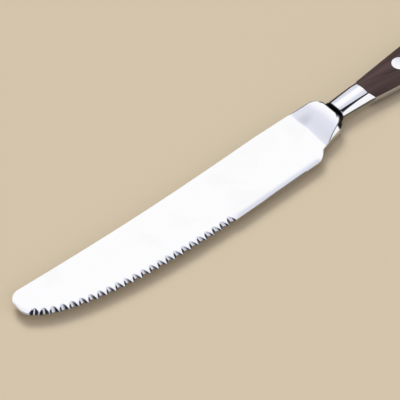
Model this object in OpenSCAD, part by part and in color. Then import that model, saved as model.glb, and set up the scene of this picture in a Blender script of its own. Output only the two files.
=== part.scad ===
// Steak knife: one forging with blade, bolster and full tang, and two riveted wood scales.
// It lies on its side. +X runs from the tip to the butt, +Y towards the spine and +Z up.
// The origin is under the middle of the knife, on the surface that it lies on.
// Inside the modules x starts at the tip, y at the spine line and z at the middle plane.

/* [Blade] */
// Length from the tip to the neck in front of the bolster
blade_l = 127; // [115:1:140]
// Depth of the blade from the spine line to the lowest point of the edge
blade_w = 22; // [19:0.2:25]
// Distance from the tip to the lowest point of the edge, where the serration ends
belly_l = 73; // [60:1:84]
// Depth of the foremost point of the tip below the spine line
tip_drop = 6.5; // [5:0.1:9]
// Radius of the tip's corner at the spine
tip_r = 4; // [1.5:0.1:5]
// Depth of the blade at its heel
heel_w = 21.3; // [18.5:0.1:21.9]
// Hollow of the spine behind the tip
spine_sag = 1.05; // [0:0.05:2]
// Length of the spine's hollow stretch
spine_sag_l = 100; // [80:1:105]
// Thickness of the spine at the root
spine_t = 1.9; // [1.5:0.05:2]
// Thickness of the spine at the tip
tip_t = 1.25; // [1.1:0.05:1.6]
// Thickness behind the edge at the heel
edge_t = 0.7; // [0.6:0.05:1]
// Width of the sharpening bevel on the plain stretch of the edge
bevel_w = 0.8; // [0.4:0.05:1.2]
// Thickness left at the cutting edge
cutting_t = 0.12; // [0.05:0.01:0.2]

/* [Serration] */
// Number of gullets
gullets = 24; // [18:1:28]
// Distance from the tip to the first gullet
serration_start = 1.2; // [0.8:0.1:8]
// Height of a gullet on the face of the blade
gullet_h = 2.4; // [1.6:0.1:3.2]
// Depth of a gullet at the edge, measured down from the face
gullet_depth = 0.65; // [0.5:0.05:0.8]
// Radius of the wheel that grinds a gullet
gullet_r = 2; // [1.8:0.1:2.2]

/* [Root and neck] */
// Length of the thick root from the heel's notch to the neck
root_l = 13.2; // [11:0.1:17]
// Thickness of the root
root_t = 6.2; // [5:0.1:6.6]
// Length over which the blade swells into the root
root_rise_l = 12.4; // [9:0.1:14]
// Depth of the root's lower outline at the notch
root_w = 18.1; // [16.5:0.1:18.8]
// Rise of the root's lower outline towards the neck
root_lift = 3.3; // [1:0.1:4.5]
// Radius of the root's end at the spine
root_spine_r = 5; // [3:0.1:6]
// Radius of the root's end below
root_edge_r = 5.5; // [3:0.1:6]
// Size of the notch between the heel and the root
notch = 3.3; // [1.4:0.1:4]
// Radius of the rounded corner of the heel
heel_r = 4; // [1:0.1:5]
// Thickness of the neck
neck_t = 3; // [2.6:0.1:4]
// Length of the hollow between the neck and the bolster
hollow_l = 0.9; // [0.6:0.1:2]

/* [Bolster] */
// Length from the neck to the wood
bolster_l = 13.2; // [10:0.1:18]
// Width at the neck
neck_w = 7.7; // [7:0.1:8.8]
// Thickness at the front of the bolster
bolster_front_t = 4.7; // [4:0.1:6]
// Width of the side facets
facet_w = 1.6; // [1:0.1:2]
// Length of the sloped shoulder that the wood abuts
shoulder_l = 2; // [0.5:0.1:3]

/* [Handle] */
// Length from the bolster to the butt
handle_l = 113.8; // [100:0.1:130]
// Thickness over both scales
handle_t = 6.6; // [6.4:0.1:10]
// Thickness of the tang and of the band along the forging's sides
tang_t = 2; // [1.6:0.1:3]
// Width where the wood meets the bolster
joint_w = 9; // [8:0.1:11]
// Greatest width
swell_w = 19.2; // [16:0.2:24]
// Distance from the bolster to the greatest width
swell_l = 70; // [55:1:80]
// Width of the flat on each scale at the greatest width
flat_w = 9.6; // [7:0.2:13]
// Depth of the handle's centre line below the spine line
axis_drop = 8.1; // [6:0.1:10]
// Width of the sloped face round the butt
butt_facet_w = 3.6; // [2:0.1:6]

/* [Rivets] */
// Diameter of the rivet heads
head_d = 5.8; // [5:0.1:7]
// Thickness of the rivet heads
head_h = 1.1; // [0.8:0.1:1.5]
// Outer diameter of the socket's barrel
barrel_d = 4; // [3.4:0.1:4.6]
// Diameter of the pin
pin_d = 2.4; // [1.8:0.1:3]
// Distance from the bolster to the front rivet
first_rivet = 17.4; // [12:0.1:22]
// Spacing of the rivets
rivet_pitch = 33.4; // [28:0.1:38]
// Clearance round a rivet, and between its pin and its barrel
rivet_fit = 0.05; // [0.02:0.01:0.1]

/* [Hidden] */

$fn = 48;
// Overrun of every cut past the faces that it opens
over = 1;
// Steps along the curved stretches of the outlines
belly_steps = 40;
spine_steps = 20;
tip_steps = 8;
rise_steps = 12;
root_steps = 12;
hollow_steps = 6;
flare_steps = 16;
butt_steps = 16;
gullet_facets = 24;
// How full the curves are, where 2 is an ellipse
belly_power = 2.5;
butt_power = 2.5;
// Share of a section's height that its upright band takes at most
band_share = 0.8;
// Shares of the root's sloped side that its end and its corners are moved in by
end_share = 0.4;
corner_share = 0.7;
// Share of the scale's sloped side that the softened crease takes
crease_share = 0.12;
// Share of the notch that the heel's rounding may take
heel_share = 0.8;
// Points along the heel's rounding
heel_steps = 8;
// Thickness at which the root's swelling starts, inside the blade
rise_start_t = 0.4;
// Length of the swelling in front of the notch
rise_lead = 3;
// Gap between the end of a socket's barrel and the head of its pin
barrel_gap = 0.3;
// Gap between the end of a pin and the head of its socket
pin_gap = 0.6;

notch_x = blade_l - root_l;
heel_x = notch_x - notch;
edge_angle = atan2(blade_w - heel_w, heel_x - belly_l);
notch_angle = atan2(heel_w - root_w, notch);
heel_half = tan((notch_angle - edge_angle) / 2);
heel_round = min(heel_r, heel_share * norm([notch, heel_w - root_w]) / heel_half);
heel_run = heel_round * heel_half;
rise_x = notch_x - rise_lead;
joint_x = blade_l + bolster_l;
shoulder_x = joint_x + shoulder_l;
swell_x = joint_x + swell_l;
butt_x = joint_x + handle_l;
butt_l = butt_x - swell_x;
top_z = handle_t / 2;
rest_z = max(handle_t, root_t) / 2;
band_z = tang_t / 2;
axis_y = -axis_drop;
root_angle = atan2(root_lift, root_l);
RIVETS = [for (i = [0 : 2]) joint_x + first_rivet + i * rivet_pitch];
edge_low = -blade_w;
edge_high = max(0, axis_y + swell_w / 2);

// Value between a and b at share t
function between(a, b, t) = a + (b - a) * t;

// Soft step from 0 to 1
function soft(t) = let (s = min(max(t, 0), 1)) s * s * (3 - 2 * s);

// Spine and edge of the blade at distance x from the tip
function spine_y(x) = x < spine_sag_l ? -spine_sag * sin(180 * x / spine_sag_l) : 0;
function belly_y(x) =
    -tip_drop - (blade_w - tip_drop) * sqrt(1 - pow((belly_l - x) / belly_l, belly_power));

// Half thickness of the blade: each face is one plane that thins to the tip and to the edge
function face_z(x, y) =
    between(tip_t, spine_t, x / notch_x) / 2 + y * (spine_t - edge_t) / 2 / heel_w;

// Points of the serrated belly, from the tip to its lowest point
BELLY = [for (i = [0 : belly_steps])
    let (x = belly_l * (1 - cos(90 * i / belly_steps))) [x, belly_y(x)]];

// Rounded corner between the plain edge and the notch
HEEL_ARC = [for (i = [0 : heel_steps])
    let (a = between(edge_angle, notch_angle, i / heel_steps))
    [heel_x - heel_run * cos(edge_angle) + heel_round * (sin(a) - sin(edge_angle)),
        -heel_w - heel_run * sin(edge_angle) + heel_round * (cos(edge_angle) - cos(a))]];

BLADE_OUTLINE = concat(
    BELLY,
    HEEL_ARC,
    [[notch_x, -root_w]],
    [for (i = [spine_steps : -1 : 0])
        let (x = between(tip_r, notch_x, i / spine_steps)) [x, spine_y(x)]],
    [for (i = [1 : tip_steps])
        let (a = 90 + 90 * i / tip_steps)
        [tip_r + tip_r * cos(a), spine_y(tip_r) - tip_r + tip_r * sin(a)]]);

// Length along the belly up to each of its points
BELLY_LENGTHS = [for (i = 0, s = 0; i <= belly_steps;
    s = s + (i < belly_steps ? norm(BELLY[i + 1] - BELLY[i]) : 0), i = i + 1) s];
BELLY_X = [for (i = [0 : belly_steps]) [BELLY_LENGTHS[i], BELLY[i][0]]];
BELLY_AT = [for (i = [0 : belly_steps]) [BELLY[i][0], BELLY_LENGTHS[i]]];
serration_from = lookup(serration_start, BELLY_AT);
gullet_pitch = (BELLY_LENGTHS[belly_steps] - serration_from) / gullets;

// Half width of the handle and of its flat, for x between the neck and the butt's curve
function handle_y(x) = x < joint_x
    ? between(neck_w, joint_w, (x - blade_l) / bolster_l) / 2
    : between(joint_w, swell_w, sin(90 * (x - joint_x) / swell_l)) / 2;
function flat_y(x) =
    between(joint_w / 2 - facet_w, flat_w / 2, sin(90 * (x - joint_x) / swell_l));

// Lower outline of the root
function root_low(x) = -root_w + (x - notch_x) * tan(root_angle);

// Outline of the root, which ends in two round corners at the neck, moved inwards by an inset
function root_outline(inset) =
    let (end_x = blade_l - inset * end_share,
        spine_r = root_spine_r - inset * corner_share,
        edge_r = root_edge_r - inset * corner_share,
        low_x = end_x - edge_r,
        low_y = root_low(low_x) + (edge_r + inset) / cos(root_angle))
    concat(
        [[rise_x, -inset]],
        [for (i = [0 : root_steps])
            let (a = 90 - 90 * i / root_steps)
            [end_x - spine_r + spine_r * cos(a), -inset - spine_r + spine_r * sin(a)]],
        [for (i = [0 : root_steps])
            let (a = (root_angle - 90) * i / root_steps)
            [low_x + edge_r * cos(a), low_y + edge_r * sin(a)]],
        [[rise_x, root_low(rise_x) + inset / cos(root_angle)]]);

// Side view of the root's upper face, which rises out of the blade
ROOT_RISE = [for (i = [0 : rise_steps])
    let (t = i / rise_steps)
    [rise_x + root_rise_l * t, between(rise_start_t, root_t, soft(t)) / 2]];

// Half height of the neck, the bolster and the shoulder
function bolster_z(x) =
    x < blade_l ? neck_t / 2
    : x < blade_l + hollow_l
        ? between(neck_t, bolster_front_t, pow((x - blade_l) / hollow_l, 2)) / 2
    : x <= joint_x
        ? between(bolster_front_t, handle_t, (x - blade_l - hollow_l) / (bolster_l - hollow_l)) / 2
    : between(top_z, band_z, (x - joint_x) / shoulder_l);

// One section of them: upright bands at the sides, sloped facets and a flat top and bottom
function bolster_section(x) =
    let (h = bolster_z(x),
        b = min(band_z, h * band_share),
        share = (h - b) / (top_z - band_z),
        c = facet_w * (x > joint_x ? share : sqrt(share)),
        high = axis_y + handle_y(x),
        low = axis_y - handle_y(x))
    [[x, high, b], [x, high, -b], [x, high - c, -h], [x, low + c, -h],
        [x, low, -b], [x, low, b], [x, low + c, h], [x, high - c, h]];

// Solid through a list of rings with equal numbers of points
module loft(rings) {
    n = len(rings[0]);
    last = len(rings) - 1;
    polyhedron(
        points = [for (ring = rings, p = ring) p],
        faces = concat(
            [[for (i = [n - 1 : -1 : 0]) i]],
            [for (k = [0 : last - 1], i = [0 : n - 1])
                let (j = (i + 1) % n) [k * n + i, k * n + j, (k + 1) * n + j]],
            [for (k = [0 : last - 1], i = [0 : n - 1])
                let (j = (i + 1) % n) [k * n + i, (k + 1) * n + j, (k + 1) * n + i]],
            [[for (i = [0 : n - 1]) last * n + i]]),
        convexity = 6);
}

// Everything is drawn from the tip and then laid on its side over the origin
module lay() {
    translate([-butt_x / 2, -(edge_low + edge_high) / 2, rest_z]) children();
}

// Space between the two faces of the blade
module blade_wedge() {
    loft([for (x = [-over, notch_x])
        [[x, over, face_z(x, over)], [x, over, -face_z(x, over)],
            [x, -blade_w - over, -face_z(x, -blade_w - over)],
            [x, -blade_w - over, face_z(x, -blade_w - over)]]]);
}

// One gullet, cut across the edge from the upper face by a wheel with a sloping axis
module gullet(i) {
    s = serration_from + (i + 0.5) * gullet_pitch;
    x = lookup(s, BELLY_X);
    back = lookup(s - gullet_pitch / 4, BELLY_X);
    front = lookup(s + gullet_pitch / 4, BELLY_X);
    a = atan2(belly_y(front) - belly_y(back), front - back) + 90;
    z = face_z(x, belly_y(x));
    apex = face_z(x + gullet_h * cos(a), belly_y(x) + gullet_h * sin(a));
    slope = atan2(apex - z + gullet_depth, gullet_h);
    translate([x, belly_y(x), z - gullet_depth])
        rotate([0, 0, a])
        rotate([0, -slope, 0])
        translate([-over, 0, gullet_r])
        rotate([0, 90, 0])
        linear_extrude(height = gullet_h + 2 * over + gullet_r * tan(slope))
        polygon([for (k = [0 : gullet_facets - 1])
            let (b = 360 * k / gullet_facets) [gullet_r * cos(b), gullet_r * sin(b)]]);
}

// Wedge that grinds the bevel of the plain edge on one face
module edge_bevel() {
    run = [heel_x - belly_l, blade_w - heel_w];
    z = face_z(belly_l, -blade_w);
    slope = atan2(z - cutting_t / 2, bevel_w);
    translate([belly_l, -blade_w, cutting_t / 2])
        rotate([0, 0, atan2(run[1], run[0])])
        rotate([slope, 0, 0])
        translate([0, -over, 0])
        cube([norm(run) + over, bevel_w / cos(slope) + 2 * over, over]);
}

module blade_plate() {
    difference() {
        intersection() {
            translate([0, 0, -top_z]) linear_extrude(height = handle_t) polygon(BLADE_OUTLINE);
            blade_wedge();
        }
        for (i = [0 : gullets - 1]) gullet(i);
        edge_bevel();
        mirror([0, 0, 1]) edge_bevel();
    }
}

// Root, with a sloped face round its end
module root() {
    z = root_t / 2;
    inset = facet_w * (z - band_z) / (top_z - band_z);
    levels = [[-z, inset], [-band_z, 0], [band_z, 0], [z, inset]];
    intersection() {
        loft([for (v = levels) [for (p = root_outline(v[1])) [p[0], p[1], v[0]]]]);
        translate([0, over, 0]) rotate([90, 0, 0]) linear_extrude(height = blade_w + 2 * over)
            polygon(concat(
                ROOT_RISE,
                [[rise_x + root_rise_l, root_t], [blade_l + over, root_t],
                    [blade_l + over, -root_t], [rise_x + root_rise_l, -root_t]],
                [for (i = [rise_steps : -1 : 0]) [ROOT_RISE[i][0], -ROOT_RISE[i][1]]]));
    }
}

// Neck, bolster and shoulder
module bolster() {
    stations = concat(
        [blade_l - root_edge_r],
        [for (i = [0 : hollow_steps]) blade_l + hollow_l * i / hollow_steps],
        [joint_x, shoulder_x]);
    loft([for (x = stations) bolster_section(x)]);
}

// Outline of the handle behind the bolster; k goes from 0 at the tang to 1 at the scale's flat
function handle_outline(k) =
    let (stations = concat([joint_x],
            [for (i = [0 : flare_steps]) between(shoulder_x, swell_x, i / flare_steps)]),
        flare = [for (x = stations) [x, between(handle_y(x), flat_y(x), k)]],
        wide = between(swell_w, flat_w, k) / 2,
        long = butt_l - butt_facet_w * k,
        butt = [for (i = [1 : butt_steps])
            let (a = 90 * i / butt_steps)
            [swell_x + long * pow(sin(a), 2 / butt_power), wide * pow(cos(a), 2 / butt_power)]],
        side = concat(flare, butt))
    concat([for (p = side) [p[0], axis_y + p[1]]],
        [for (i = [len(side) - 2 : -1 : 0]) [side[i][0], axis_y - side[i][1]]]);

module tang() {
    translate([0, 0, -band_z]) linear_extrude(height = tang_t)
        polygon(handle_outline(0));
}

// Holes of all rivets, with seats for their heads on one side
module rivet_holes(seats) {
    for (x = RIVETS) translate([x, axis_y, 0]) {
        cylinder(d = barrel_d + 2 * rivet_fit, h = handle_t + 2 * over, center = true);
        if (seats) translate([0, 0, top_z - head_h]) cylinder(d = head_d + 2 * rivet_fit, h = head_h + over);
    }
}

module forged_blade() {
    color("gainsboro") lay() difference() {
        union() {
            blade_plate();
            root();
            bolster();
            tang();
        }
        rivet_holes(false);
    }
}

// Wood scale on the tang's upper face
module wood_scale() {
    run = shoulder_l / (top_z - band_z);
    levels = [[0, 0], [1 - crease_share, 1 - crease_share], [1 + crease_share, 1]];
    difference() {
        intersection() {
            loft([for (v = levels)
                [for (p = handle_outline(v[0])) [p[0], p[1], between(band_z, top_z, v[1])]]]);
            translate([0, axis_y + swell_w, 0]) rotate([90, 0, 0])
                linear_extrude(height = 2 * swell_w)
                polygon([[shoulder_x + over * run, band_z - over], [joint_x - over * run, top_z + over],
                    [butt_x + over, top_z + over], [butt_x + over, band_z - over]]);
        }
        rivet_holes(true);
    }
}

module scale_upper() {
    color("rosybrown") lay() wood_scale();
}

module scale_lower() {
    color("rosybrown") lay() mirror([0, 0, 1]) wood_scale();
}

// Tubular half of a rivet, driven in from below
module rivet_socket(i) {
    color("silver") lay() translate([RIVETS[i], axis_y, -top_z]) difference() {
        union() {
            cylinder(d = head_d, h = head_h);
            cylinder(d = barrel_d, h = handle_t - head_h - barrel_gap);
        }
        translate([0, 0, head_h]) cylinder(d = pin_d + 2 * rivet_fit, h = handle_t);
    }
}

// Pin half of a rivet, driven in from above
module rivet_pin(i) {
    color("silver") lay() translate([RIVETS[i], axis_y, top_z]) mirror([0, 0, 1]) union() {
        cylinder(d = head_d, h = head_h);
        cylinder(d = pin_d, h = handle_t - head_h - pin_gap);
    }
}

forged_blade();
scale_upper();
scale_lower();
rivet_socket(0);  // rivet_socket_front
rivet_socket(1);  // rivet_socket_middle
rivet_socket(2);  // rivet_socket_rear
rivet_pin(0);  // rivet_pin_front
rivet_pin(1);  // rivet_pin_middle
rivet_pin(2);  // rivet_pin_rear
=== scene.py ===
"""Steak knife: the forging, the wood scales and the rivets, on a plain pale floor."""

import math

import bpy
import numpy as np
from bpy.props import FloatProperty, FloatVectorProperty, IntProperty, PointerProperty
from mathutils import Matrix, Vector


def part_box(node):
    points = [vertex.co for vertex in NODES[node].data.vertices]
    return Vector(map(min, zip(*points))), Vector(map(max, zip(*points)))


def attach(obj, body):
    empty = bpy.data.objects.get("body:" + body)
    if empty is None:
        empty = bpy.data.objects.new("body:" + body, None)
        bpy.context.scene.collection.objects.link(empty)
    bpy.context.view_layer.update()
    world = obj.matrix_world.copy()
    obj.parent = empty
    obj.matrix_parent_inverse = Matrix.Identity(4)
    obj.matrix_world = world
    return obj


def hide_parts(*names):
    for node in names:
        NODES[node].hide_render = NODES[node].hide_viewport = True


bl_info = {
    "name": "Steak Knife",
    "version": (1, 0, 0),
    "blender": (4, 5, 0),
    "location": "View3D > Sidebar > Steak Knife",
    "description": "Builds a serrated steak knife round its solid frame",
    "category": "Add Mesh",
}

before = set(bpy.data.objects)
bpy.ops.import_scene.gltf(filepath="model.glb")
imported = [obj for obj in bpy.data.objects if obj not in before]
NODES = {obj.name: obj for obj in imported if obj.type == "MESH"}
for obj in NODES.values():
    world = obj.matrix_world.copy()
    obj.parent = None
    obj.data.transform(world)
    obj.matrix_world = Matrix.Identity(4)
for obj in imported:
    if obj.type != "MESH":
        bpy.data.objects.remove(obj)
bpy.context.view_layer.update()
MM = 0.001
PLAY = 0.05 * MM  # round a rivet in its hole, and round a pin in its socket
HEAD_HEIGHT = 1.1 * MM
RIVETS = ("front", "middle", "rear")


def linear(*srgb):
    """Linear colour of a written screen colour from 0 to 255."""
    parts = [c / 255 for c in srgb]
    return [c / 12.92 if c <= 0.04045 else ((c + 0.055) / 1.055) ** 2.4 for c in parts]


# Sizes and colours


def length(name, description, mm):
    return FloatProperty(name=name, description=description, default=mm * MM, unit="LENGTH")


class KnifeSizes(bpy.types.PropertyGroup):
    blade_length: length("Blade length", "From the tip to the neck", 127)
    bolster_length: length("Bolster length", "From the neck to the wood", 13.2)
    axis_drop: length("Axis drop", "Depth of the handle's centre line below the spine", 8.1)
    band: length("Band", "Height of the upright band between the facets", 2)
    root_thickness: length("Root thickness", "Thickness of the root behind the blade", 6.2)
    gullets: IntProperty(name="Gullets", description="Number of gullets in the belly", default=24, min=1)
    gullet_height: length("Gullet height", "How far a gullet reaches up the face", 2.4)
    gullet_through: length("Gullet through", "How far a gullet passes the lower face at the edge", 0.2)
    gullet_radius: length("Gullet radius", "Radius of the wheel that cuts the gullets", 2.6)
    grind_depth: length("Plain grind", "Greatest depth of the hollow grind of the plain edge", 0.11)
    tooth_grind: length("Tooth grind", "Depth of the hollow grind along the teeth", 0.08)
    edge: length("Edge", "Half thickness left at the cutting edge", 0.05)
    near_crease: length("Lower crease", "Softness of the bolster's crease on the edge side", 0.8)
    far_crease: length("Upper crease", "Softness of the bolster's crease on the spine side", 0.9)
    wood_crease: length("Wood crease", "Softness of the creases in the wood", 1.3)
    barrel: length("Barrel", "Diameter of a rivet's tubular half", 4)
    pin: length("Pin", "Diameter of a rivet's pin", 2.4)
    head_rim: length("Head rim", "Rounding of a rivet head's rim", 0.12)
    head_dome: length("Head dome", "How far a rivet head's middle stands above its rim", 0.05)


def colour(name, description, value):
    return FloatVectorProperty(name=name, description=description, subtype="COLOR", size=3, default=value)


class KnifeColours(bpy.types.PropertyGroup):
    steel: colour("Steel", "Polished steel", (0.93, 0.93, 0.94))
    steel_dark: colour("Smudged steel", "Steel under faint finger marks", (0.9, 0.9, 0.91))
    # Near-black painted shade, a dark reflection, on the steel: in the groove, on upright edges and along the
    # far crease
    groove: colour("Groove", "Steel that the buffing wheel can't reach", (0.02, 0.02, 0.022))
    wood_dark: colour("Dark grain", "Dark bands of the wood", linear(61, 47, 46))
    wood_light: colour("Light grain", "Light bands of the wood", linear(112, 88, 85))
    # The pore colour is also the colour of the painted shade on the wood
    pores: colour("Pores", "Short dark pores along the grain", linear(30, 21, 20))
    floor: colour("Floor", "Plain pale floor", linear(214, 198, 170))


def sizes():
    return bpy.context.scene.knife_sizes


def colours():
    return bpy.context.scene.knife_colours


# Modelling helpers


def deselect():
    if bpy.context.mode != "OBJECT":
        bpy.ops.object.mode_set(mode="OBJECT")
    bpy.ops.object.select_all(action="DESELECT")


def pick(obj):
    deselect()
    obj.select_set(True)
    bpy.context.view_layer.objects.active = obj


def edit(obj):
    """Goes into edit mode on a piece, with all of it selected."""
    pick(obj)
    bpy.ops.object.mode_set(mode="EDIT")
    bpy.ops.mesh.select_all(action="SELECT")


def point_outwards(obj, merge):
    """Merges points that lie within a distance and turns all faces outwards."""
    edit(obj)
    bpy.ops.mesh.remove_doubles(threshold=merge)
    bpy.ops.mesh.normals_make_consistent(inside=False)
    bpy.ops.object.mode_set(mode="OBJECT")


def copy_of(node, name):
    """A merged copy of a solid's mesh, as a new object at the origin."""
    obj = bpy.data.objects.new(name, NODES[node].data.copy())
    obj.data.materials.clear()
    bpy.context.scene.collection.objects.link(obj)
    edit(obj)
    bpy.ops.mesh.remove_doubles(threshold=1e-6)
    bpy.ops.mesh.dissolve_limited(angle_limit=math.radians(0.3))
    bpy.ops.object.mode_set(mode="OBJECT")
    return obj


def new_mesh(name, points, edges=(), faces=()):
    """A new object at the origin from points in metres and the edges or faces between them."""
    data = bpy.data.meshes.new(name)
    data.from_pydata([tuple(p) for p in points], edges, faces)
    data.update()
    obj = bpy.data.objects.new(name, data)
    bpy.context.scene.collection.objects.link(obj)
    return obj


def keep_behind(obj, x):
    """Cuts a piece across at x, closes the cut and keeps what lies behind it."""
    edit(obj)
    across = (1, 0, 0)
    bpy.ops.mesh.bisect(plane_co=(x, 0, 0), plane_no=across, threshold=1e-7, use_fill=True, clear_inner=True)
    bpy.ops.object.mode_set(mode="OBJECT")


def smooth(obj, degrees, flat_normal=None, flat_within=3):
    """Smooths a piece up to an angle. Faces that lie within a few degrees of flat_normal stay flat."""
    pick(obj)
    bpy.ops.object.shade_smooth_by_angle(angle=math.radians(degrees))
    if flat_normal is not None:
        for face in obj.data.polygons:
            if abs(face.normal.dot(flat_normal)) > math.cos(math.radians(flat_within)):
                face.use_smooth = False


def finish_piece(obj, node_names, material):
    """Gives a piece its material, and says what it rides on and which solids it replaces."""
    obj.data.materials.clear()
    obj.data.materials.append(material)
    deselect()
    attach(obj, "root")
    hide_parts(*node_names)
    return obj


# Forging


def soft_min(a, b, k):
    """The smaller of two heights, rounded over where they differ by less than k."""
    h = np.maximum(k - np.abs(a - b), 0) / k
    return np.minimum(a, b) - h * h * k / 4


def soft_max(a, b, k):
    return -soft_min(-a, -b, k)


def smooth_step(t):
    t = np.clip(t, 0, 1)
    return t * t * (3 - 2 * t)


class Forging:
    """Plan and height of the forging, in mm from the tip, the spine and the middle plane."""

    # Outline of the blade: belly, rounded tip, plain edge, heel notch and spine
    belly, width, tip_drop, tip_r, belly_power = 73.0, 22.0, 6.5, 4.0, 2.5
    plain_rise, plain_run = 0.7, 37.5
    notch, heel_x, heel_y, heel_slope, heel_soft = 113.8, 111.36, -20.64, 1.04, 2.2
    spine_dip, spine_run = 1.05, 100
    # Thickness of the blade: at the tip, what the heel adds, and what is lost down to the edge
    tip_thick, heel_thick, taper, taper_run = 1.25, 0.65, 1.2, 21.3
    # Teeth: their start, how far a gullet reaches, the share of the wheel that cuts, and how soft the rims are
    serration_start, gullet_reach, wheel_share, tooth_soft = 1.2, 6, 0.9, 0.07
    # Hollow grind: its width at the teeth, how much less it is on the plain edge, its fading, and the fine bevel
    grind_run, plain_less, fade_x, fade_run, bevel, bevel_soft = 3.2, 0.9, 108.6, 2.4, 1.25, 0.04
    # Root: lower outline, corner radii, and the run of its sloped side lengthwise, at its end and its corners
    root_y, slope_angle, spine_r, edge_r = -18.1, math.atan2(3.3, 13.2), 5.0, 5.5
    side_run, end_run, corner_run, corner_change, side_drop = 1.46, 0.58, 1.02, 0.44, 2.1
    # Ramp from the blade up to the root: its foot, how far that shifts, its rise, its run and its softness
    ramp_x, ramp_shift, ramp_rise, ramp_run, ramp_soft = 119.8, 0.9, 1.68, 5.5, 1.2
    # Neck: how far it reaches ahead of the bolster and behind its front, its height, and how soft it runs out
    web_ahead, web_behind, neck_z, web_soft = 3, 1.5, 1.05, 0.25
    # Bolster: half widths, height of its top, run of its facets, its front, and the shoulder under the wood
    neck_half, bolster_gain, joint_half, handle_gain, handle_run = 3.85, 0.65, 4.5, 5.1, 70
    top_z, top_gain, facet_run, far_facet_run, far_facet_gain = 2.35, 0.95, 1.6, 1.25, 0.35
    front_x, front_slope, front_soft, shoulder_z, shoulder_slope = 127.1, 3, 1.3, 3.27, 1.135
    # Painted shade, a dark reflection painted on the steel: its share on upright edges and in the far crease,
    # how far ahead of the bolster the groove's painted shade begins, how far up the root's side it reaches, and
    # the strip of the far facet that is painted dark
    edge_dull, crease_dull, groove_lead, side_dull, strip = 0.3, 0.9, 0.45, 2.4, (-0.5, 0.68)
    # Where the plain part takes over from the serrated part, and the tang from the plain part
    front, back = 74.0, 142.2

    def __init__(self):
        s = sizes()
        self.neck = s.blade_length / MM
        self.joint = self.neck + s.bolster_length / MM
        self.axis = -s.axis_drop / MM
        self.band = s.band / 2 / MM
        self.root = s.root_thickness / MM
        self.creases = s.near_crease / MM, s.far_crease / MM
        self.grind, self.tooth_grind, self.edge = s.grind_depth / MM, s.tooth_grind / MM, s.edge / MM
        self.gullet_h, self.through = s.gullet_height / MM, s.gullet_through / MM
        self.gullet_r = s.gullet_radius / MM
        low_x = self.neck - self.edge_r
        self.low_corner = low_x, self.root_low(low_x) + self.edge_r / math.cos(self.slope_angle)
        self.belly_x = self.belly * (1 - np.cos(np.radians(np.linspace(0, 90, 1500))))
        steps = np.hypot(np.diff(self.belly_x), np.diff(self.edge_line(self.belly_x)))
        self.belly_s = np.concatenate([[0], np.cumsum(steps)])
        start = np.interp(self.serration_start, self.belly_x, self.belly_s)
        pitch = (self.belly_s[-1] - start) / s.gullets
        self.gullets = [self.gullet(start + (i + 0.5) * pitch, pitch) for i in range(s.gullets)]

    def edge_line(self, x):
        """Lower outline of the blade."""
        curve = np.sqrt(1 - np.clip((self.belly - x) / self.belly, 0, 1) ** self.belly_power)
        plain = np.maximum(x - self.belly, 0) * self.plain_rise / self.plain_run
        return -self.tip_drop - (self.width - self.tip_drop) * curve + plain

    def face(self, x, y):
        """Half thickness of the blade before it is ground."""
        spine = (self.tip_thick + self.heel_thick * np.minimum(x, self.notch) / self.notch) / 2
        return spine + y * self.taper / 2 / self.taper_run

    def gullet(self, at, pitch):
        """Place, inward direction, floor at the edge and rise of the gullet at a length along the belly."""
        lengths = at, at - pitch / 4, at + pitch / 4
        x, back, front = (float(np.interp(v, self.belly_s, self.belly_x)) for v in lengths)
        y = float(self.edge_line(x))
        run = Vector((front - back, float(self.edge_line(front) - self.edge_line(back)))).normalized()
        inward = (-run.y, run.x)
        floor = self.tooth_grind - float(self.face(x, y)) - self.through
        apex = float(self.face(x + self.gullet_h * inward[0], y + self.gullet_h * inward[1]))
        return x, y, inward, floor, (apex - floor) / self.gullet_h

    def cut_gullets(self, x, y, body):
        """Upper face after the wheel has cut each gullet into it."""
        clear = 9
        for gx, gy, (ix, iy), floor, rise in self.gullets:
            if abs(x[0] - gx) > self.gullet_reach:
                continue
            u = (x - gx) * ix + (y - gy) * iy
            v = -(x - gx) * iy + (y - gy) * ix
            round_part = self.gullet_r - np.sqrt(np.maximum(self.gullet_r**2 - v**2, 0))
            height = floor + u * rise + round_part * math.hypot(1, rise)
            height = np.where(np.abs(v) < self.gullet_r * self.wheel_share, height, clear)
            body = soft_min(body, height, self.tooth_soft)
        return body

    def root_low(self, x):
        """Lower outline of the root."""
        return self.root_y + (x - self.notch) * math.tan(self.slope_angle)

    def half_width(self, x):
        """Half width of the bolster and of the handle behind it."""
        bolster = self.neck_half + self.bolster_gain * (x - self.neck) / (self.joint - self.neck)
        turn = np.sin(np.radians(90 * (x - self.joint) / self.handle_run))
        return np.where(x <= self.joint, bolster, self.joint_half + self.handle_gain * turn)

    def spine_line(self, x):
        """Upper outline of the blade and the root, which dips a little in the middle."""
        return -self.spine_dip * math.sin(math.pi * x / self.spine_run) if x < self.spine_run else 0

    def plan(self, x):
        """Lower and upper outline at x."""
        w = self.half_width(x)
        if x >= self.neck:
            return self.axis - w, self.axis + w
        d = x - (self.neck - self.spine_r)
        high = self.spine_line(x) if d <= 0 else -self.spine_r + math.sqrt(self.spine_r**2 - d * d)
        low_x, low_y = self.low_corner
        if x < self.notch:
            heel = self.heel_y + self.heel_slope * (x - self.heel_x)
            low = float(soft_max(float(self.edge_line(x)), heel, self.heel_soft))
        elif x < low_x + self.edge_r * math.sin(self.slope_angle):
            low = self.root_low(x)
        else:
            low = low_y - math.sqrt(self.edge_r**2 - (x - low_x) ** 2)
        if x < self.neck - self.web_ahead:
            return low, high
        return min(low, self.axis - w), max(high, self.axis + w)

    def root_share(self, x, y):
        """How far up the root's side a point is, how steep the side is, and how far it faces the bolster."""
        inward = (y - self.root_low(x)) * math.cos(self.slope_angle)
        share = np.minimum(-y / self.side_run, inward / self.side_run)
        steep = np.full_like(x, self.side_drop / self.side_run)
        end = (self.neck - x) / self.end_run
        ahead = np.where(end < share + 1.5, 1.0, 0.0)
        steep = np.where(end < share, self.side_drop / self.end_run, steep)
        share = np.minimum(share, end)
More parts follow.
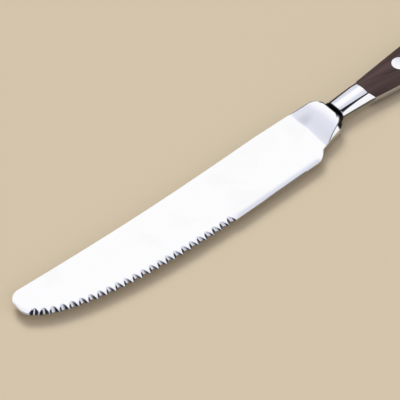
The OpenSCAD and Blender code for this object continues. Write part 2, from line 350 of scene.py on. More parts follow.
        # Centre, radius, change of the run across the knife, and the angles between which a corner lies
        corners = (
            (self.neck - self.spine_r, -self.spine_r, self.spine_r, -self.corner_change, math.pi / 2, 0),
            (*self.low_corner, self.edge_r, self.end_run, 0, self.slope_angle - math.pi / 2),
        )
        for cx, cy, r, change, top, bottom in corners:
            dx, dy = x - cx, y - cy
            far = np.maximum(np.hypot(dx, dy), 1e-9)
            angle = np.arctan2(dy, dx)
            inside = (angle <= top) & (angle >= bottom)
            run = self.corner_run - (dx * self.corner_change + dy * change) / far
            share = np.where(inside, (r - far) / run, share)
            steep = np.where(inside, self.side_drop / run, steep)
            low_down = smooth_step((dx / far - 0.24) / 0.14) * smooth_step((1.1 - share) / 0.4)
            ahead = np.where(inside, np.maximum(smooth_step((dx / far - 0.84) / 0.16), low_down), ahead)
        return share, steep, ahead

    def root_height(self, x, y, share, steep):
        """Height of the root, which swings up out of the blade's face and falls down its sloped side."""
        foot = self.ramp_x - self.ramp_shift * smooth_step((y + 8) / 6)
        ramp = np.exp((foot - x) / self.ramp_run) - np.exp((foot - self.neck) / self.ramp_run)
        rise = self.root / 2 - self.ramp_rise * ramp
        root = soft_max(rise, self.face(x, y), self.ramp_soft * np.clip((x - 109.5) / 4, 0.01, 1))
        on_side = np.clip(share, 0, 1)
        side = self.side_drop * (1.06 * on_side - 0.06 * on_side**2)
        side = side + np.where(share > 0, 1.97, 2.23) * (share - on_side)
        crease = (0.3 + 0.25 * smooth_step((y + 9) / 3)) * steep * np.clip((x - self.notch) / 3, 0.02, 1)
        return np.where(x < self.notch, root, soft_min(root, self.band + side, crease))

    def bolster_height(self, x, away, run):
        """Height of the bolster's top and facets, and the same cut down to the neck and under the wood."""
        top = self.top_z + self.top_gain * np.minimum((x - self.neck) / (self.joint - self.neck), 1)
        flank = self.band + (top - self.band) / run * (self.half_width(x) - np.abs(away))
        crown = np.where(away > 0, 0.25, 0.16) * (away / 2.4) ** 2
        full = soft_min(top - crown, flank, np.where(away > 0, self.creases[1], self.creases[0]))
        front = self.front_x + 1 - np.exp(-0.2 * away**2)
        slope = soft_min(full, self.neck_z + self.front_slope * (x - front), self.front_soft)
        floor = self.neck_z - 0.6 * smooth_step((x - self.neck - 0.9) / 1.4)
        bolster = np.where(x > self.neck + 4, full, soft_max(slope, floor, self.web_soft))
        shoulder = np.minimum(bolster, self.shoulder_z - self.shoulder_slope * (x - self.joint))
        return full, np.where(x > self.joint + 0.02, shoulder, bolster)

    def height(self, x, y):
        """Height of the upper face above the middle plane, and the share of painted shade there."""
        share, steep, ahead = self.root_share(x, y)
        root = self.root_height(x, y, share, steep)
        away = y - self.axis
        far_run = self.far_facet_run + self.far_facet_gain * smooth_step((x - self.joint + 2.5) / 2.5)
        run = np.where(away > 0, far_run, self.facet_run)
        full, bolster = self.bolster_height(x, away, run)
        body = np.where(x > self.neck - self.web_ahead, soft_max(root, bolster, self.web_soft), root)
        body = np.where(x >= self.neck + self.web_behind, bolster, body)
        # Painted shade on the root's side where it faces the bolster
        facing = ahead * smooth_step((self.side_dull - share) / 0.6)
        dull = self.dull(x, facing, full - body, away - self.half_width(x) + run)
        if x[0] < self.notch:
            body = self.ground(x, y, body)
        return body, dull

    def dull(self, x, facing, cut_away, past):
        """Share of painted shade, a dark reflection painted on steel that is also made rougher: in the groove,
        round the neck at its bottom, and along the far crease.
        """
        groove = np.where(x >= self.neck, smooth_step(cut_away / 0.16), facing)
        groove = np.where((x > self.neck - 5) & (x < self.neck + 3), groove, 0)
        around = smooth_step((x - self.neck + self.groove_lead) / 0.3)
        around = around * smooth_step((self.neck + self.web_behind - x) / 0.4)
        start, end = self.strip
        crease = self.crease_dull * smooth_step((past - start) / 0.2) * smooth_step((end - past) / 0.15)
        return np.maximum(groove, np.maximum(around, crease * (x >= self.neck)))

    def ground(self, x, y, body):
        """Height left by the hollow grind, which thins the blade to its edge and fades out at the heel."""
        step = 0.05
        low = self.edge_line(x)
        slope = (self.edge_line(x + step) - self.edge_line(np.maximum(x - step, 0))) / (2 * step)
        d = np.maximum(y - low, 0) / np.hypot(1, slope)
        fading = 1 - smooth_step((x - self.fade_x) / self.fade_run)
        plain = smooth_step((x - self.belly) / 3)
        plain_deep = np.clip(self.face(x, low) - self.edge, 0, self.grind)
        deep = self.tooth_grind + (plain_deep - self.tooth_grind) * plain
        body = body - fading * deep * np.clip(1 - d / (self.grind_run - self.plain_less * plain), 0, 1) ** 2
        return soft_min(body, self.edge + d * self.bevel + (1 - fading), self.bevel_soft)

    def serrated_stations(self):
        """Places along the belly, evenly spaced along its edge, and on to the plain edge."""
        count = round(self.belly_s[-1] / 0.127)
        xs = np.interp(np.linspace(0, self.belly_s[-1], count + 1), self.belly_s, self.belly_x)
        return np.concatenate([[0.0, 0.02, 0.05], xs[xs > 0.08], np.linspace(self.belly, self.front, 9)[1:]])

    def serrated_faces(self, x, y):
        """Heights of the toothed upper face and the plain lower face along a line across the blade at x."""
        xs = np.full_like(y, x)
        plain = self.ground(xs, y, self.face(xs, y))
        return self.cut_gullets(xs, y, plain), -plain

    def serrated_ring(self, x):
        """Upper and lower face of the serrated blade at x, from the scalloped edge to the spine."""
        belly = float(self.edge_line(x))
        high = self.spine_line(x)
        if x < self.tip_r:
            high = self.spine_line(self.tip_r) - self.tip_r + math.sqrt(self.tip_r**2 - (self.tip_r - x) ** 2)
        # The edge lies where there is first some steel between the faces
        y = np.linspace(belly, belly + min(self.grind_run, 0.8 * (high - belly)), 400)
        upper, lower = self.serrated_faces(x, y)
        thick = np.nonzero(upper - lower > 0.03)[0]
        low = y[thick[0]] if len(thick) else belly
        near = min(3.3, 0.55 * (high - low))
        y = low + np.concatenate([near * np.linspace(0, 1, 32) ** 1.3, np.linspace(near, high - low, 8)[1:]])
        upper, lower = self.serrated_faces(x, y)
        upper = np.maximum(upper, lower + 0.02)
        if x < 0.1:
            upper, lower = (v * (0.8 + 2 * x) for v in (upper, lower))
        points = np.column_stack([np.full_like(y, x), y, upper])
        under = np.column_stack([np.full_like(y, x), y, lower])
        # The spine is rounded by a hair: how far below its top, and the share of its thickness
        top = upper[-1]
        points[-1] = [x, high - 0.06, top]
        under[-1] = [x, high - 0.06, -top]
        turns = ((0.02, 0.93), (0, 0.8), (0, -0.8), (0.02, -0.93))
        spine = [[x, high - below, top * share] for below, share in turns]
        return np.vstack([points, spine, under[::-1]])

    def stations(self):
        """Places along the knife, close together where the form turns quickly."""
        runs = (
            (74, 108, 0.5),
            (108, 114.2, 0.15),
            (114.2, 120.5, 0.3),
            (120.5, 124, 0.15),
            (124, 126.2, 0.08),
            (126.2, 127.1, 0.03),
            (127.1, 129, 0.07),
            (129, 131, 0.15),
            (131, 139.6, 0.5),
            (139.6, 142.2, 0.08),
        )
        xs = [self.notch, self.joint, self.back]
        for start, end, step in runs:
            count = round((end - start) / step)
            xs += [start + (end - start) * i / count for i in range(count)]
        return sorted(set(round(v, 5) for v in xs))

    def rows(self, low, high):
        """Places across the knife, close together next to both edges."""
        width = high - low
        near, first = min(2.7, width * 0.33), 0.06
        edge = first + (near - first) * np.linspace(0, 1, 25) ** 1.15
        middle = np.linspace(near, width - near, 20)[1:-1]
        return low + np.concatenate([edge, middle, width - edge[::-1]])


def place(points):
    """Turns mm from the tip, the spine and the middle plane into metres in the knife's frame."""
    rivet_low, rivet_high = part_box("rivet_pin_front")
    out = np.array(points, float) * MM
    out[:, 0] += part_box("forged_blade")[0].x
    out[:, 1] += (rivet_low.y + rivet_high.y) / 2 + sizes().axis_drop
    out[:, 2] += (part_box("scale_upper")[1].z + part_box("scale_lower")[0].z) / 2
    return out


def middle_height():
    """Height of the knife's middle plane, in metres."""
    return place([[0, 0, 0]])[0][2]


def skin(name, rings):
    """Closed skin through rings with equal numbers of points."""
    n = len(rings[0])
    faces = [
        (k * n + i, k * n + (i + 1) % n, (k + 1) * n + (i + 1) % n, (k + 1) * n + i)
        for k in range(len(rings) - 1)
        for i in range(n)
    ]
    faces += [tuple(reversed(range(n))), tuple((len(rings) - 1) * n + i for i in range(n))]
    return new_mesh(name, place(np.vstack(rings)), faces=faces)


def mark(obj, name, values):
    """Writes a share from 0 to 1 for each point of a mesh, which its material reads by name."""
    obj.data.attributes.new(name, "FLOAT", "POINT").data.foreach_set("value", values)


def plain_part(form):
    """Plain end of the blade, root, neck, bolster and shoulder as one smooth closed skin."""
    rim, band = 0.03, 0.93
    edges = [0, 1, -2, -1]
    rings, unbuffed = [], []
    for x in form.stations():
        low, high = form.plan(x)
        y = form.rows(low, high)
        xs = np.full_like(y, x)
        z, marks = form.height(xs, y)
        # Each half is its row of points with two more at either end, which round the upright edge
        marks = marks[[0, 0, *range(len(y)), -1, -1]]
        # Painted shade on the upright edges, a dark reflection of the shadowed floor, and deep in the groove
        in_groove = 1.0 if x > form.neck - form.groove_lead else 0.0
        least = form.edge_dull * smooth_step((x - form.notch) / 4)
        marks[edges] = np.maximum(in_groove * marks[edges], least)
        # Painted shade on the top of the band towards the root's corner
        shaded = marks.copy()
        shaded[:2] = np.maximum(shaded[:2], 0.9 * smooth_step((x - form.neck + 4) / 3))
        round_by = rim * (1 - smooth_step((x - form.joint) / 1.9))
        z_low, z_high = (min(band + 1.8 * (rim - round_by), end) for end in (z[0], z[-1]))
        half = [[x, low, z_low * (1 - 6 * round_by)], [x, low + round_by / 2, z_low * (1 - 2 * round_by)]]
        half += np.column_stack([xs, y, z]).tolist()
        half.append([x, high - round_by / 2, z_high * (1 - 2 * round_by)])
        half.append([x, high, z_high * (1 - 6 * round_by)])
        half = np.array(half)
        rings.append(np.vstack([half, (half * [1, 1, -1])[::-1]]))
        unbuffed.append(np.concatenate([shaded, marks[::-1]]))
    plain = skin("plain_part", rings)
    mark(plain, "unbuffed", np.concatenate(unbuffed))
    return plain


class MESH_OT_knife_forging(bpy.types.Operator):
    """Blade, root, bolster and tang as one polished forging"""

    bl_idname = "mesh.knife_forging"
    bl_label = "Forging"

    def execute(self, context):
        form = Forging()
        serrated = skin("serrated_part", [form.serrated_ring(x) for x in form.serrated_stations()])
        plain = plain_part(form)
        tang = copy_of("forged_blade", "tang")
        keep_behind(tang, place([[form.back, 0, 0]])[0][0])
        # The tang's upright edges get painted shade, like the bolster's band
        mark(tang, "unbuffed", [form.edge_dull] * len(tang.data.vertices))
        for part, degrees in ((serrated, 40), (plain, 40), (tang, 17)):
            point_outwards(part, 1e-7)
            smooth(part, degrees)
        deselect()
        for part in (serrated, tang, plain):
            part.select_set(True)
        bpy.context.view_layer.objects.active = plain
        bpy.ops.object.join()
        plain.name = plain.data.name = "forging"
        finish_piece(plain, ["forged_blade"], polished_steel())
        return {"FINISHED"}


# Wood scales


class Scale:
    """Outline of the wood at the tang and at the flat, in mm, and the softness of its creases."""

    swell, flat, joint_flat = 19.2, 9.6, 2.9
    swell_x, butt_x, butt_power, butt_facet = 210.2, 254.0, 2.5, 3.6
    top, lead, crease_run = 3.3, 0.6, 14

    def __init__(self):
        self.form = Forging()
        self.soft = sizes().wood_crease / MM

    def outline(self, k):
        """Half outline from the joint to the butt; k is 0 at the tang and 1 at the flat."""
        joint, half = self.form.joint, self.form.joint_half
        points = []
        for x in np.linspace(joint - self.lead, self.swell_x, 72):
            turn = math.sin(math.radians(90 * (x - joint) / (self.swell_x - joint)))
            tang = half + (self.swell / 2 - half) * turn
            flat = self.joint_flat + (self.flat / 2 - self.joint_flat) * turn
            points.append((x, tang + (flat - tang) * k))
        wide = (self.swell + (self.flat - self.swell) * k) / 2
        long = self.butt_x - self.swell_x - self.butt_facet * k
        for i in range(1, 41):
            a, power = math.radians(90 * i / 40), 2 / self.butt_power
            points.append((self.swell_x + long * math.sin(a) ** power, wide * math.cos(a) ** power))
        return points

    def softness(self, x, upper):
        """Softness of the crease, which starts as the bolster's and grows behind it."""
        near, far = self.form.creases
        start = far if upper else near
        return start + (self.soft - start) * smooth_step((x - self.form.joint) / self.crease_run)

    def ring(self, t):
        """Closed ring of points at a share t of the way from the tang to the flat."""
        rise = self.top - self.form.band
        points = []
        for upper in (True, False):
            side = []
            for (x0, y0), (x1, y1) in zip(self.outline(0), self.outline(1)):
                soft = float(self.softness(x0, upper))
                k = t * (1 + soft / rise)
                z = float(soft_min(self.form.band + rise * k, np.float64(self.top), soft))
                y = max(y0 + (y1 - y0) * k, 0)
                side.append((x0 + (x1 - x0) * k, self.form.axis + (y if upper else -y), z))
            points += side if upper else side[-2::-1]
        return points


def scale_body(upper):
    """One scale, with a front that slopes over the shoulder."""
    side = np.array([1, 1, 1 if upper else -1])
    shape = Scale()
    form = shape.form
    scale = skin("scale", [np.array(shape.ring(t)) * side for t in np.linspace(0, 1, 26)])
    # The front is cut along a slope from the end of the shoulder up to the joint
    low, high = place(np.array([[form.back, 0, form.band], [form.joint, 0, shape.top]]) * side)
    run = high - low
    edit(scale)
    bpy.ops.mesh.remove_doubles(threshold=1e-6)
    across = Vector((abs(run[2]), 0, -run[0] if upper else run[0])).normalized()
    bpy.ops.mesh.bisect(plane_co=low, plane_no=across, threshold=1e-7, use_fill=True, clear_inner=True)
    bpy.ops.mesh.select_all(action="SELECT")
    bpy.ops.mesh.normals_make_consistent(inside=False)
    bpy.ops.object.mode_set(mode="OBJECT")
    return scale


def drill(scale, node, upper):
    """Cuts a rivet's stepped hole out of a scale: the barrel's hole, then a seat for the head."""
    lo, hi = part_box(node)
    middle = (lo + hi) / 2
    outwards = 1 if upper else -1
    head = (hi.x - lo.x) / 2 + PLAY
    hole = sizes().barrel / 2 + PLAY
    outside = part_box("scale_upper")[1].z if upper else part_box("scale_lower")[0].z
    seat = outside - outwards * HEAD_HEIGHT
    depth, above = 6 * MM, 2 * MM
    deselect()
    bpy.ops.mesh.primitive_cylinder_add(
        vertices=72, radius=hole, depth=depth, location=(middle.x, middle.y, seat - outwards * depth / 2)
    )
    drill_bit = bpy.context.object
    bpy.ops.object.mode_set(mode="EDIT")
    bpy.ops.mesh.select_all(action="DESELECT")
    bpy.ops.object.mode_set(mode="OBJECT")
    for face in drill_bit.data.polygons:
        face.select = face.normal.z * outwards > 0.9
    bpy.ops.object.mode_set(mode="EDIT")
    bpy.ops.mesh.select_mode(type="FACE")
    bpy.ops.mesh.extrude_region_move()
    bpy.ops.transform.resize(value=(head / hole, head / hole, 1))
    bpy.ops.mesh.extrude_region_move(TRANSFORM_OT_translate={"value": (0, 0, outwards * above)})
    bpy.ops.mesh.select_all(action="SELECT")
    bpy.ops.mesh.normals_make_consistent(inside=False)
    bpy.ops.object.mode_set(mode="OBJECT")
    pick(scale)
    boolean = scale.modifiers.new("Hole", "BOOLEAN")
    boolean.operation = "DIFFERENCE"
    boolean.solver = "EXACT"
    boolean.object = drill_bit
    bpy.ops.object.modifier_apply(modifier=boolean.name)
    bpy.data.objects.remove(drill_bit)


def mark_dark_wood(scale):
    """Marks painted shade on the wood: the facet on the spine side, and a painted shadow along the tang."""
    count = len(scale.data.vertices)
    normals, points = np.empty(count * 3), np.empty(count * 3)
    scale.data.vertices.foreach_get("normal", normals)
    scale.data.vertices.foreach_get("co", points)
    above_tang = np.abs(points[2::3] - middle_height()) / MM - sizes().band / 2 / MM
    spine_side, along_tang = smooth_step((normals[1::3] - 0.08) / 0.45), smooth_step((0.5 - above_tang) / 0.4)
    mark(scale, "dark_wood", np.maximum(spine_side, along_tang))


class MESH_OT_knife_scales(bpy.types.Operator):
    """The two wood scales, with soft creases and seats for the rivets"""

    bl_idname = "mesh.knife_scales"
    bl_label = "Wood scales"

    def execute(self, context):
        wood = handle_wood()
        for node, upper in (("scale_upper", True), ("scale_lower", False)):
            scale = scale_body(upper)
            scale.name = scale.data.name = f"wood_{node}"
            for where in RIVETS:
                drill(scale, f"rivet_pin_{where}", upper)
            smooth(scale, 35, flat_normal=Vector((0, 0, 1)))
            mark_dark_wood(scale)
            finish_piece(scale, [node], wood)
        return {"FINISHED"}


# Rivets


def turned(name, profile, centre, up):
    """A body turned from a profile of radius and height, both in metres, about an upright line."""
    points = [(centre.x + r, centre.y, centre.z + up * z) for r, z in profile]
    obj = new_mesh(name, points, edges=[(i, i + 1) for i in range(len(points) - 1)])
    edit(obj)
    bpy.ops.mesh.spin(steps=72, angle=2 * math.pi, center=centre, axis=(0, 0, 1))
    point_outwards(obj, 1e-6)
    return obj


def head_profile(radius):
    """Half section of a head, from its middle over a shallow ring and a rounded rim to its underside."""
    rim, dome = sizes().head_rim, sizes().head_dome
    inner = radius - rim
    profile = []
    for i in range(17):
        r = inner * i / 16
        ring = 0.02 * MM * math.exp(-(((r - 0.84 * radius) / (0.05 * radius)) ** 2))
        profile.append((r, -dome * (r / inner) ** 2 - ring))
    for i in range(1, 9):
        a = math.radians(90 * i / 8)
        profile.append((inner + rim * math.sin(a), -dome - rim * (1 - math.cos(a))))
    profile.append((radius, -HEAD_HEIGHT))
    return profile


class MESH_OT_knife_rivets(bpy.types.Operator):
    """The three rivets, each a pin in a tubular socket, with rounded heads"""

    bl_idname = "mesh.knife_rivets"
    bl_label = "Rivets"

    def execute(self, context):
        steel = rivet_steel()
        barrel, pin, point = sizes().barrel / 2, sizes().pin / 2, 0.2 * MM
        for where in RIVETS:
            for half, up in (("pin", 1), ("socket", -1)):
                node = f"rivet_{half}_{where}"
                lo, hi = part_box(node)
                radius, deep = (hi.x - lo.x) / 2, hi.z - lo.z
                profile = head_profile(radius)
                if half == "pin":
                    profile += [(pin, -HEAD_HEIGHT), (pin, -deep + point), (pin - point, -deep), (0, -deep)]
                else:
                    profile += [(barrel, -HEAD_HEIGHT), (barrel, -deep), (pin + PLAY, -deep)]
                    profile += [(pin + PLAY, -HEAD_HEIGHT), (0, -HEAD_HEIGHT)]
                centre = Vector(((lo.x + hi.x) / 2, (lo.y + hi.y) / 2, hi.z if up > 0 else lo.z))
                piece = turned(f"{half}_{where}", profile, centre, up)
                smooth(piece, 35)
                finish_piece(piece, [node], steel)
        return {"FINISHED"}


# Materials


# Inputs of the shared lines, after their coordinates, with their defaults
LINE_INPUTS = {"Per metre along": 20, "Per metre across": 2000, "Detail": 4, "Low": 0.35, "High": 0.65}


def new_material(name):
    """A new material, its nodes, its links and its shader."""
    material = bpy.data.materials.new(name)
    material.use_nodes = True
    nodes = material.node_tree.nodes
    return material, nodes, material.node_tree.links, nodes["Principled BSDF"]


def lines_group():
    """Fine lines along the piece: noise on coordinates that are stretched lengthwise."""
    if "Fine lines" in bpy.data.node_groups:
        return bpy.data.node_groups["Fine lines"]
    group = bpy.data.node_groups.new("Fine lines", "ShaderNodeTree")
    group.interface.new_socket(name="Vector", in_out="INPUT", socket_type="NodeSocketVector")
    for name, value in LINE_INPUTS.items():
        socket = group.interface.new_socket(name=name, in_out="INPUT", socket_type="NodeSocketFloat")
        socket.default_value = value
    group.interface.new_socket(name="Mask", in_out="OUTPUT", socket_type="NodeSocketFloat")
    nodes, links = group.nodes, group.links
    start, end = nodes.new("NodeGroupInput"), nodes.new("NodeGroupOutput")
    scale = nodes.new("ShaderNodeCombineXYZ")
    links.new(start.outputs["Per metre along"], scale.inputs["X"])
    links.new(start.outputs["Per metre across"], scale.inputs["Y"])
    links.new(start.outputs["Per metre across"], scale.inputs["Z"])
    stretched = nodes.new("ShaderNodeVectorMath")
    stretched.operation = "MULTIPLY"
    links.new(start.outputs["Vector"], stretched.inputs[0])
    links.new(scale.outputs["Vector"], stretched.inputs[1])
    noise = nodes.new("ShaderNodeTexNoise")
    noise.inputs["Scale"].default_value = 1
    links.new(stretched.outputs["Vector"], noise.inputs["Vector"])
    links.new(start.outputs["Detail"], noise.inputs["Detail"])
    mask = nodes.new("ShaderNodeMapRange")
    links.new(noise.outputs["Fac"], mask.inputs["Value"])
    links.new(start.outputs["Low"], mask.inputs["From Min"])
    links.new(start.outputs["High"], mask.inputs["From Max"])
    links.new(mask.outputs["Result"], end.inputs["Mask"])
    return group


def fine_lines(nodes, links, vector, *values):
    """Places the shared lines in a material, with values for LINE_INPUTS, and gives back their mask."""
    lines = nodes.new("ShaderNodeGroup")
    lines.node_tree = lines_group()
    links.new(vector, lines.inputs["Vector"])
    for name, value in zip(LINE_INPUTS, values):
        lines.inputs[name].default_value = value
    return lines.outputs["Mask"]


def cloudy(nodes, links, vector, scale, detail, distortion=0):
    """Soft noise, such as finger marks."""
    noise = nodes.new("ShaderNodeTexNoise")
    noise.inputs["Scale"].default_value = scale
    noise.inputs["Detail"].default_value = detail
    noise.inputs["Distortion"].default_value = distortion
    links.new(vector, noise.inputs["Vector"])
    return noise.outputs["Fac"]


def marked(nodes, name):
    """The shares that mark() wrote on the mesh under a name."""
    attribute = nodes.new("ShaderNodeAttribute")
    attribute.attribute_name = name
    return attribute.outputs["Fac"]


def fill(links, socket, value):
    """Links another node's output to a socket, or writes a plain number or colour on it."""
    if isinstance(value, bpy.types.NodeSocket):
        links.new(value, socket)
    elif isinstance(value, (int, float)):
        socket.default_value = value
    else:
        socket.default_value = (*value, 1)


def mix_colours(nodes, links, share, first, second):
    """A mix of two colours, each a plain colour or another node's output."""
    mix = nodes.new("ShaderNodeMix")
    mix.data_type = "RGBA"
    for index, value in ((0, share), (6, first), (7, second)):
        fill(links, mix.inputs[index], value)
    return mix.outputs[2]


def combine(nodes, links, operation, *values):
    """The result of a Math node on plain numbers and other nodes' outputs."""
    node = nodes.new("ShaderNodeMath")
    node.operation = operation
    for socket, value in zip(node.inputs, values):
        fill(links, socket, value)
    return node.outputs["Value"]


def spread(nodes, links, value, low, high):
    """Turns a mask from 0 to 1 into a value from low to high."""
    node = nodes.new("ShaderNodeMapRange")
    node.inputs["To Min"].default_value = low
    node.inputs["To Max"].default_value = high
    links.new(value, node.inputs["Value"])
    return node.outputs["Result"]


def mask_between(nodes, links, value, low, high, kind="LINEAR"):
    """Turns a value from low to high into a mask from 0 to 1."""
    node = nodes.new("ShaderNodeMapRange")
    node.interpolation_type = kind
    node.inputs["From Min"].default_value = low
    node.inputs["From Max"].default_value = high
    links.new(value, node.inputs["Value"])
    return node.outputs["Result"]


def relief(nodes, links, height, strength, distance, shader):
    """Fine relief on the surface, its depth in metres."""
    bump = nodes.new("ShaderNodeBump")
    bump.inputs["Strength"].default_value = strength
    bump.inputs["Distance"].default_value = distance
    links.new(height, bump.inputs["Height"])
    links.new(bump.outputs["Normal"], shader.inputs["Normal"])


def polished_steel():
    """Mirror polish with hair-fine lines lengthwise and faint finger marks, with painted shade, a dark
    reflection, and rougher steel where marked: in the groove, on upright edges and along the far crease.
    """
    c = colours()
    material, nodes, links, shader = new_material("Polished steel")
    vector = nodes.new("ShaderNodeTexCoord").outputs["Object"]
    smudge = mask_between(nodes, links, cloudy(nodes, links, vector, 55, 5, 0.6), 0.52, 0.72)
    lines = fine_lines(nodes, links, vector, 30, 5200, 3, 0.3, 0.7)
    unbuffed = marked(nodes, "unbuffed")
    steel = mix_colours(nodes, links, smudge, c.steel, c.steel_dark)
    # Painted shade, standing in for dark reflections, where marked; the same marks make the steel rougher below
    links.new(mix_colours(nodes, links, unbuffed, steel, c.groove), shader.inputs["Base Color"])
    smudge_rough = spread(nodes, links, smudge, 0, 0.03)
    rough = combine(nodes, links, "ADD", spread(nodes, links, lines, 0.045, 0.085), smudge_rough)
    rough = combine(nodes, links, "MAXIMUM", rough, spread(nodes, links, unbuffed, 0, 0.55))
    links.new(rough, shader.inputs["Roughness"])
    relief(nodes, links, lines, 0.025, 0.00002, shader)
    shader.inputs["Metallic"].default_value = 1
    return material


def rivet_steel():
    """Polished rivet heads with a fine turned grain and a little more wear than the forging."""
    c = colours()
    material, nodes, links, shader = new_material("Rivet steel")
    vector = nodes.new("ShaderNodeTexCoord").outputs["Object"]
    lines = fine_lines(nodes, links, vector, 900, 6000, 2, 0.3, 0.7)
    wear = cloudy(nodes, links, vector, 900, 4)
    links.new(mix_colours(nodes, links, wear, c.steel, c.steel_dark), shader.inputs["Base Color"])
    links.new(spread(nodes, links, lines, 0.09, 0.15), shader.inputs["Roughness"])
    relief(nodes, links, wear, 0.05, 0.00002, shader)
    shader.inputs["Metallic"].default_value = 1
    return material


def handle_wood():
    """Oiled dark wood: broad bands, fine grain and short pores, all lengthwise, and painted shade where marked.
    """
    c = colours()
    material, nodes, links, shader = new_material("Handle wood")
    slant = nodes.new("ShaderNodeMapping")
    slant.inputs["Rotation"].default_value = (0, 0.02, 0.035)
    links.new(nodes.new("ShaderNodeTexCoord").outputs["Object"], slant.inputs["Vector"])
    along = slant.outputs["Vector"]
    bands = fine_lines(nodes, links, along, 9, 260, 3, 0.3, 0.7)
    grain = fine_lines(nodes, links, along, 55, 2600, 5, 0.25, 0.75)
    pores = fine_lines(nodes, links, along, 260, 5200, 2, 0.66, 0.78)
    tone = combine(nodes, links, "MULTIPLY_ADD", grain, 0.3, spread(nodes, links, bands, 0, 0.7))
    wood = mix_colours(nodes, links, tone, c.wood_dark, c.wood_light)
    wood = mix_colours(nodes, links, spread(nodes, links, pores, 0, 0.55), wood, c.pores)
    # Painted shade on the spine-side facet and painted shadow along the tang, in the pores' colour
    shade = spread(nodes, links, marked(nodes, "dark_wood"), 0, 0.6)
    links.new(mix_colours(nodes, links, shade, wood, c.pores), shader.inputs["Base Color"])
    links.new(spread(nodes, links, grain, 0.5, 0.62), shader.inputs["Roughness"])
    relief(nodes, links, combine(nodes, links, "SUBTRACT", grain, pores), 0.25, 0.00003, shader)
    shader.inputs["Specular IOR Level"].default_value = 0.22
    return material


def floor_material():
    """Plain pale floor, nearly without gloss."""
    material, *_, shader = new_material("Pale floor")
    shader.inputs["Base Color"].default_value = (*colours().floor, 1)
    shader.inputs["Roughness"].default_value = 0.8
    shader.inputs["Specular IOR Level"].default_value = 0.2
    return material


# Stage


# The window, as a direction along it, one across it and one towards it. Each has stops of the
# dot product with that direction and of the light there; the three are multiplied.
WINDOW = (
    (
        (-0.904, 0.147, 0.402),
        ((-0.4, 0), (-0.2, 0.8), (-0.08, 1), (0.1, 1), (0.3, 0.79), (0.58, 0.72), (0.85, 0)),
    ),
    (
        (0.088, -0.855, 0.511),
        ((-0.5, 0), (-0.36, 0.72), (-0.2, 0.74), (-0.09, 1), (0.08, 1), (0.2, 0.74), (0.55, 0.72), (0.68, 0)),
    ),
    ((0.417, 0.497, 0.76), ((0, 0), (0.2, 1))),
)
# Soft cards round the knife: azimuth, elevation, inner and outer half angle in degrees, and light
CARDS = (
    (0, 90, 5, 9, 0.85),
    (-62, 12, 27, 37, 0.95),
    (-100, 40, 16, 30, 0.8),
    (60, 2, 10, 20, 0.06),
    (180, 5, 40, 58, 0.4),
    (112, 18, 16, 32, 0.4),
    (-5, 18, 10, 24, 0.22),
)
# Colour of the light from the dark room up to the window
ROOM_TINT = (
    (0, (0.02, 0.02, 0.022)),
    (0.3, (0.28, 0.285, 0.32)),
    (0.6, (0.58, 0.59, 0.67)),
    (0.82, (0.8, 0.81, 0.9)),
    (1, (1, 1, 1)),
)
# Lamps: name, strength, angle in degrees and the direction that the light comes from
LAMPS = (("Key", 1.52, 30, (0.25, 0.62, 0.75)), ("Fill", 0.74, 80, (0, 0, 1)))


def colour_ramp(nodes, links, value, stops, kind):
    """Turns a value from 0 to 1 into a colour through stops of a place and a colour."""
    ramp = nodes.new("ShaderNodeValToRGB")
    ramp.color_ramp.interpolation = kind
    points = ramp.color_ramp.elements
    while len(points) < len(stops):
        points.new(0.5)
    for point, (where, colour) in zip(points, stops):
        point.position = where
        point.color = (*colour, 1)
    links.new(value, ramp.inputs["Fac"])
    return ramp.outputs["Color"]


def studio_world():
    """Plain soft studio light: a large window and soft cards in a dim room."""
    world = bpy.data.worlds.new("Studio")
    world.use_nodes = True
    nodes, links = world.node_tree.nodes, world.node_tree.links
    coords = nodes.new("ShaderNodeTexCoord")

    def fade(direction, stops):
        """Light that follows the dot product with a direction through the given stops."""
        dot = nodes.new("ShaderNodeVectorMath")
        dot.operation = "DOT_PRODUCT"
        dot.inputs[1].default_value = direction
        links.new(coords.outputs["Generated"], dot.inputs[0])
        share = combine(nodes, links, "MULTIPLY_ADD", dot.outputs["Value"], 0.5, 0.5)
        levels = [((where + 1) / 2, (level,) * 3) for where, level in stops]
        return colour_ramp(nodes, links, share, levels, "EASE")

    def card(azimuth, elevation, inner, outer, level):
        """Light of a round card with a soft rim."""
        a, e, inner, outer = (math.radians(v) for v in (azimuth, elevation, inner, outer))
        direction = (math.cos(a) * math.cos(e), math.sin(a) * math.cos(e), math.sin(e))
        return fade(direction, ((math.cos(outer), 0), (math.cos(inner), level)))

    long_side, short_side, towards = (fade(direction, stops) for direction, stops in WINDOW)
    window = combine(nodes, links, "MULTIPLY", long_side, short_side)
    window = combine(nodes, links, "MULTIPLY", window, towards)
    inside = mask_between(nodes, links, window, 0.5, 0.64, "SMOOTHSTEP")
    light = combine(nodes, links, "MULTIPLY", window, inside)
    for each in CARDS:
        light = combine(nodes, links, "MAXIMUM", light, card(*each))
    back = nodes["Background"]
    back.inputs["Strength"].default_value = 1.05
    links.new(colour_ramp(nodes, links, light, ROOM_TINT, "LINEAR"), back.inputs["Color"])
    return world


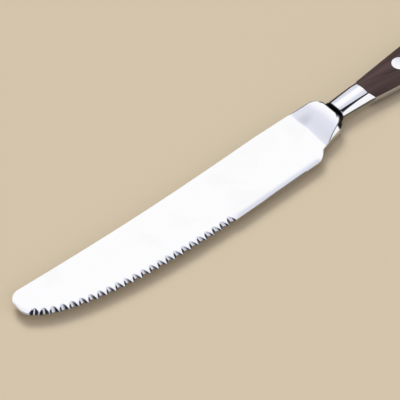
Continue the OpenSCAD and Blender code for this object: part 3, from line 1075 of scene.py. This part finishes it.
class SCENE_OT_knife_stage(bpy.types.Operator):
    """Plain pale floor, soft light all round, two lamps and the camera"""

    bl_idname = "scene.knife_stage"
    bl_label = "Stage"

    def execute(self, context):
        scene = context.scene
        scene.view_settings.view_transform = "Standard"
        bpy.ops.mesh.primitive_plane_add(size=6, location=(0, 0, -0.00002))
        floor = context.object
        floor.name = "floor"
        floor.data.materials.append(floor_material())
        scene.world = studio_world()

        for name, strength, angle, direction in LAMPS:
            light = bpy.data.lights.new(name, "SUN")
            light.energy = strength
            light.angle = math.radians(angle)
            lamp = bpy.data.objects.new(name, light)
            lamp.rotation_euler = Vector(direction).to_track_quat("Z", "Y").to_euler()
            lamp.visible_glossy = False
            scene.collection.objects.link(lamp)

        camera_data = bpy.data.cameras.new("Camera")
        camera_data.sensor_width = 36
        camera_data.lens = 171.2
        camera_data.clip_start = 0.01
        camera_data.clip_end = 50
        camera = bpy.data.objects.new("Camera", camera_data)
        camera.location = (-0.3106, -0.29465, 0.4595)
        look = Vector((0.422, 0.494, -0.760)).normalized()
        right = Vector((0.760, -0.649, 0)).normalized()
        up = right.cross(look)
        camera.rotation_mode = "QUATERNION"
        camera.rotation_quaternion = Matrix((right, up, -look)).transposed().to_quaternion()
        scene.collection.objects.link(camera)
        scene.camera = camera
        return {"FINISHED"}


class VIEW3D_PT_knife(bpy.types.Panel):
    bl_label = "Steak Knife"
    bl_space_type = "VIEW_3D"
    bl_region_type = "UI"
    bl_category = "Steak Knife"

    def draw(self, context):
        column = self.layout.column()
        for group in (context.scene.knife_sizes, context.scene.knife_colours):
            for name in group.__annotations__:
                column.prop(group, name)
        for operator in OPERATORS:
            column.operator(operator.bl_idname)


OPERATORS = (MESH_OT_knife_forging, MESH_OT_knife_scales, MESH_OT_knife_rivets, SCENE_OT_knife_stage)
CLASSES = (KnifeSizes, KnifeColours, *OPERATORS, VIEW3D_PT_knife)


def register():
    for each in CLASSES:
        bpy.utils.register_class(each)
    bpy.types.Scene.knife_sizes = PointerProperty(type=KnifeSizes)
    bpy.types.Scene.knife_colours = PointerProperty(type=KnifeColours)


def unregister():
    del bpy.types.Scene.knife_colours
    del bpy.types.Scene.knife_sizes
    for each in reversed(CLASSES):
        bpy.utils.unregister_class(each)


def main():
    register()
    bpy.ops.mesh.knife_forging()
    bpy.ops.mesh.knife_scales()
    bpy.ops.mesh.knife_rivets()
    bpy.ops.scene.knife_stage()


if __name__ == "__main__":
    main()
